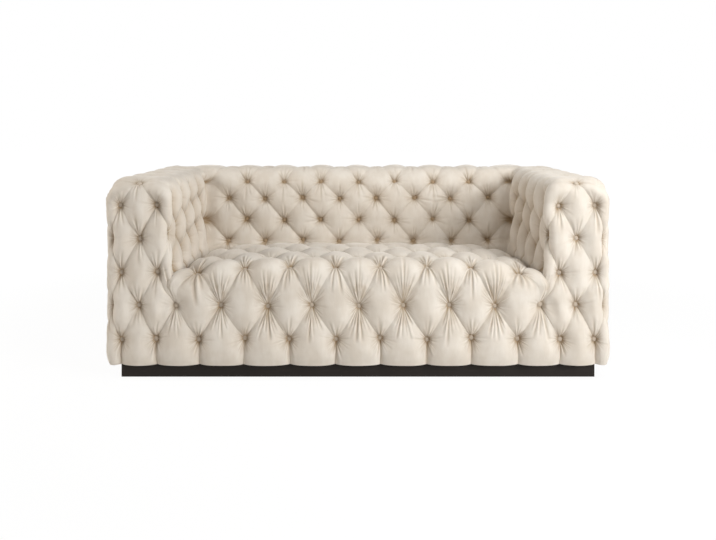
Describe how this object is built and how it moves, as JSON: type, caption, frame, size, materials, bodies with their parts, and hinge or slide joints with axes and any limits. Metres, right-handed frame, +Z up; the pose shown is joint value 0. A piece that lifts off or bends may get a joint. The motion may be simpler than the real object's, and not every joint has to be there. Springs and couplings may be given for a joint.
{
  "type": "two-seater sofa",
  "caption": "Low two-seater sofa with arms and back at one height, deep-buttoned in diamonds all over in cream velvet, on a recessed black plinth.",
  "frame": {"origin": "on the floor, under the middle of the sofa's box", "axes": "+X along the sofa's width, to the right as seen from the front; +Y from the front to the rear; +Z up"},
  "size_m": [1.9, 0.92, 0.7546],
  "materials": {
    "velvet": "matte",
    "plinth_paint": "satin",
    "timber": "matte",
    "spring_steel": "satin",
    "nylon": "satin",
    "dust_cloth": "matte",
    "webbing": "matte",
    "felt": "matte"
  },
  "bodies": {
    "root": {"back_bottom_rail": "timber", "back_pad": "velvet", "back_strap_1": "webbing", "back_strap_2": "webbing", "back_strap_3": "webbing", "back_strap_4": "webbing", "back_tack_rail": "timber", "back_top_rail": "timber", "centre_back_post": "timber", "centre_stretcher": "timber", "dust_cover": "dust_cloth", "front_centre_glide": "nylon", "front_left_corner_block": "timber", "front_left_glide": "nylon", "front_right_corner_block": "timber", "front_right_glide": "nylon", "front_seat_rail": "timber", "left_arm_front_panel": "timber", "left_arm_pad": "velvet", "left_arm_rear_panel": "timber", "left_arm_tack_rail": "timber", "left_arm_top_rail": "timber", "left_back_post": "timber", "left_seat_rail": "timber", "plinth_cross_rail": "plinth_paint", "plinth_front": "plinth_paint", "plinth_left": "plinth_paint", "plinth_rear": "plinth_paint", "plinth_right": "plinth_paint", "rear_centre_glide": "nylon", "rear_left_corner_block": "timber", "rear_left_glide": "nylon", "rear_right_corner_block": "timber", "rear_right_glide": "nylon", "right_arm_front_panel": "timber", "right_arm_pad": "velvet", "right_arm_rear_panel": "timber", "right_arm_tack_rail": "timber", "right_arm_top_rail": "timber", "right_back_post": "timber", "right_seat_rail": "timber", "seat_pad": "velvet", "seat_rear_rail": "timber", "seat_spring_1": "spring_steel", "seat_spring_2": "spring_steel", "seat_spring_3": "spring_steel", "seat_spring_4": "spring_steel", "seat_spring_5": "spring_steel", "spring_clip_front_1": "spring_steel", "spring_clip_front_2": "spring_steel", "spring_clip_front_3": "spring_steel", "spring_clip_front_4": "spring_steel", "spring_clip_front_5": "spring_steel", "spring_clip_rear_1": "spring_steel", "spring_clip_rear_2": "spring_steel", "spring_clip_rear_3": "spring_steel", "spring_clip_rear_4": "spring_steel", "spring_clip_rear_5": "spring_steel", "spring_felt": "felt"}
  },
  "joints": []
}
